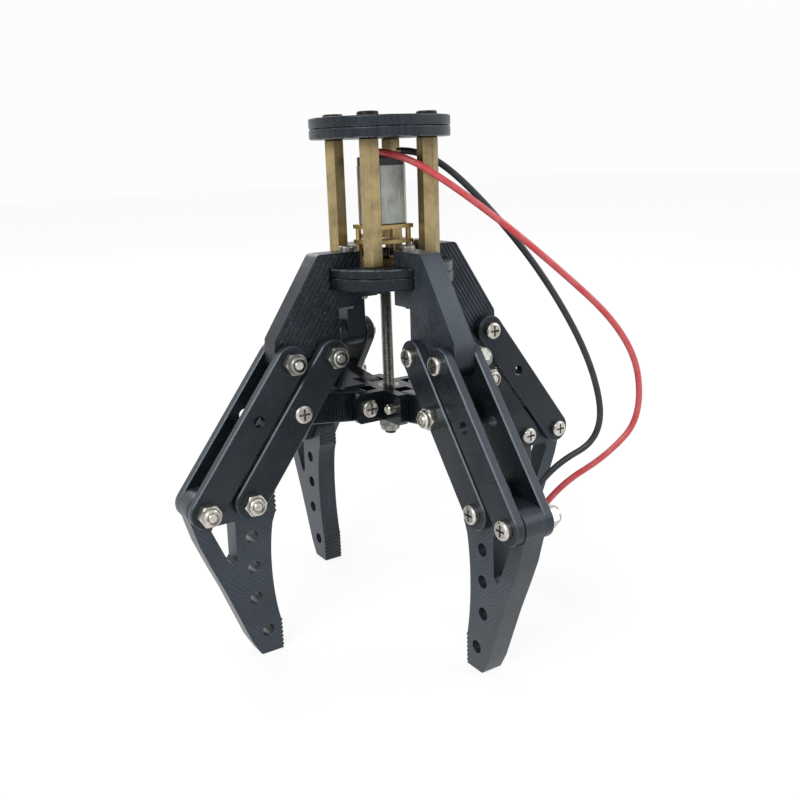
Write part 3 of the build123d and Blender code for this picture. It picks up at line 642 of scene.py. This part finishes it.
# Motor: a drawn steel can with two flats and short upright stamped lines, painted lighter as
# highlights, closed by a moulded black cap that the terminals stand on.
can_light = (0.38, 0.40, 0.38)
can_dark = (0.23, 0.245, 0.235)
can_relief = 0.00004
drawn_lines = (1, 1, 0.06)
drawn_tone = 0.5
stamp_highlight_tone = 0.9
stamp_relief = 0.6
stamp_bearings = (-113, -70, 67, 110)
stamp_half_width = 0.045
stamp_bottom = 0.1087
stamp_top = 0.1131
can = Finish("can_steel")
can_place = can.place()
can_x, can_y, can_z = can.axes(can_place)
can_drawn = can.noise(can.stretch(can_place, drawn_lines), scale=1500.0, detail=4.0)
can_stain = can.noise(can_place, scale=220.0, detail=3.0)
can_round = can_y.bearing(can_x)
stamped = sum((can_round - math.radians(degrees)).size() < stamp_half_width
              for degrees in stamp_bearings)
stamped = stamped * (can_z > stamp_bottom) * (can_z < stamp_top)
# The stamped lines are pressed in by the bump and painted lighter, as a highlight.
can_share = (can.rise(can_stain, 0.3, 0.7) + drawn_tone * (can_drawn - 0.5)
             - stamp_highlight_tone * stamped)
can.surface(
    Base_Color=can.mix(can_share, can_light, can_dark),
    Metallic=1.0,
    Roughness=0.3 + 0.14 * can_drawn,
    Normal=can.bump(can_drawn - stamped * stamp_relief, can_relief, strength=0.4),
)
dress(["motor_can"], can.material)

cap_light = (0.008, 0.009, 0.011)
cap_dusty = (0.02, 0.021, 0.024)
cap_relief = 0.00002
cap = Finish("cap_plastic")
cap_place = cap.place()
cap.surface(
    Base_Color=cap.mix(cap.noise(cap_place, scale=300.0), cap_light, cap_dusty),
    Roughness=0.36 + 0.12 * cap.noise(cap_place, scale=700.0),
    Normal=cap.bump(cap.noise(cap_place, scale=3000.0), cap_relief, strength=0.4),
)
dress(["motor_cap"], cap.material)


# Screws and nuts: plated steel, bright on the rounded heads, with painted shade on the
# floors of the recesses. The nuts are duller, with a dark ring in the mouth round the
# screw's end, partly their dark insert and partly painted shade.
head_colour = (0.70, 0.68, 0.63)
head_dark = (0.42, 0.40, 0.36)
head_roughness = 0.2
recess_shade = (0.04, 0.038, 0.034)
recess_shade_share = 0.8
groove_shade_tone = 0.6
groove_relief = 4.0
small_pitch = 0.00045
steel_relief = 0.00002
pivot_pits = (0.0054, 0.0066)
root_pits = (0.0045, 0.0057)
root_threads_from = 0.0046
nut_pits = (0.0080, 0.0088)


def steel_finish(name, colour, dark, roughness, pits=None, threaded_from=None):
    """Plated steel, measured from the upright planes through the middle of the gripper.

    pits is how far from them the floors of the recesses lie, from and to; those floors are
    painted dark as shade. threaded_from is where a screw's thread starts; its grooves are
    painted darker and its crests lighter, as shade and highlight.
    """
    finish = Finish(name)
    place = finish.place()
    x, y = finish.axes(place)[:2]
    stain = finish.noise(place, scale=700.0, detail=4.0, roughness=0.6)
    share = finish.rise(stain, 0.35, 0.7)
    relief = finish.noise(place, scale=3800.0, detail=2.0)
    if threaded_from is not None:
        along = x.size().smaller(y.size())
        groove = along.waves(small_pitch) * (along > threaded_from)
        # Painted shade in the thread's grooves and painted highlight on its crests.
        share = share + groove * groove_shade_tone
        relief = relief + groove * groove_relief
    shade = finish.mix(share, colour, dark)
    if pits is not None:
        facing_x, facing_y, facing_z = finish.axes(finish.facing())
        depth = facing_x.size() * x.size() + facing_y.size() * y.size()
        # Painted shade on the floors of the recesses, and in the nuts' mouths over their dark insert.
        shaded_recess = (depth > pits[0]) * (depth < pits[1]) * (facing_z.size() < 0.5)
        shade = finish.mix(shaded_recess * recess_shade_share, shade, recess_shade)
    return finish.surface(
        Base_Color=shade,
        Metallic=1.0,
        Roughness=roughness + 0.12 * stain,
        Normal=finish.bump(relief, steel_relief, strength=0.3),
    )


dress(["shoulder_screws"], steel_finish(
    "plated_steel", head_colour, head_dark, head_roughness, pivot_pits))
dress(["root_screws"], steel_finish(
    "plated_root_steel", head_colour, head_dark, head_roughness, root_pits, root_threads_from))
dress(["gearbox_screws"], steel_finish(
    "gearbox_screw_steel", head_colour, head_dark, head_roughness))
for leg in legs:
    dress([f"claw_fasteners_{leg}", f"drive_fastener_{leg}"], steel_finish(
        f"plated_fasteners_{leg}", head_colour, head_dark, roughness=0.22, pits=pivot_pits))
dress(["shoulder_nuts", "lead_nut", "lock_nut"], steel_finish(
    "nut_zinc", colour=(0.36, 0.365, 0.34), dark=(0.19, 0.195, 0.18),
    roughness=0.3, pits=nut_pits))
dress(["bracket_screws"], steel_finish(
    "bracket_screw_steel", colour=(0.40, 0.39, 0.36), dark=(0.06, 0.06, 0.055), roughness=0.3))
dress(["top_screws", "hub_screws"], steel_finish(
    "blackened_steel", colour=(0.035, 0.032, 0.028), dark=(0.015, 0.015, 0.014),
    roughness=0.34))


# Lead screw: the motor's output shaft, a long 3 mm rod with a rolled thread, in a dark steel
# colour. Its gear sits in the gearbox; the rod runs down through hub and traveller.
screw_light = (0.15, 0.145, 0.13)
screw_dark = (0.06, 0.055, 0.05)
thread_radius = 0.0015
thread_root = 0.0012
thread_depth = thread_radius - thread_root
thread_pitch = 0.0005
thread_crest = 0.00008
thread_flank = 0.00014
thread_steps = 18
thread_merge = 0.000004
thread_start = 0.0497
thread_end = 0.0957
rod_bottom = thread_start + thread_pitch
rod_top = thread_end - thread_pitch
cut_merge = 0.000001
thread_cut = [
    (0.0, thread_crest), (-thread_depth, thread_flank),
    (0.0, thread_flank), (thread_depth, thread_flank),
]


def cut_level(height, **side):
    """Cuts what is selected at a height, drops one side and closes the cut."""
    bpy.ops.mesh.bisect(plane_co=(0, 0, height), plane_no=(0, 0, 1), use_fill=True,
                        threshold=cut_merge, **side)


# One point is drawn up along the thread's outline, and that line is wound round the rod.
bpy.ops.object.select_all(action="DESELECT")
bpy.ops.mesh.primitive_plane_add(size=thread_root, location=(thread_radius, 0, thread_start))
rod = bpy.context.object
rod.name = "threaded_rod"
rod.data.name = "threaded_rod"
bpy.ops.object.transform_apply(location=True)
edit_whole()
bpy.ops.mesh.merge(type="CENTER")
for outward, up in thread_cut:
    bpy.ops.mesh.extrude_region_move(TRANSFORM_OT_translate={"value": (outward, 0, up)})
bpy.ops.object.mode_set(mode="OBJECT")
rolled = rod.modifiers.new("rolled", "SCREW")
rolled.screw_offset = thread_pitch
rolled.iterations = round((thread_end - thread_start) / thread_pitch)
rolled.steps = rolled.render_steps = thread_steps
rolled.use_merge_vertices = True
bpy.ops.object.modifier_apply(modifier="rolled")
edit_whole()
bpy.ops.mesh.remove_doubles(threshold=thread_merge)
bpy.ops.mesh.select_all(action="SELECT")
cut_level(rod_bottom, clear_inner=True)
bpy.ops.mesh.select_all(action="SELECT")
cut_level(rod_top, clear_outer=True)
bpy.ops.mesh.select_all(action="SELECT")
bpy.ops.mesh.normals_make_consistent(inside=False)
bpy.ops.object.mode_set(mode="OBJECT")

# The gear and the shaft's top end come from a copy of the CAD node, cut off below.
select_only(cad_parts["lead_screw"])
bpy.ops.object.duplicate()
gear = bpy.context.object
edit_whole()
bpy.ops.mesh.remove_doubles(threshold=cut_merge)
cut_level(rod_top, clear_inner=True)
bpy.ops.object.mode_set(mode="OBJECT")
gear.data.materials.clear()
rod.select_set(True)
bpy.context.view_layer.objects.active = rod
bpy.ops.object.join()
rod.data.materials.append(steel_finish("screw_steel", screw_light, screw_dark, roughness=0.3))
bpy.ops.object.shade_smooth_by_angle(angle=math.radians(35))
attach(rod, "lead_screw")
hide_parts("lead_screw")
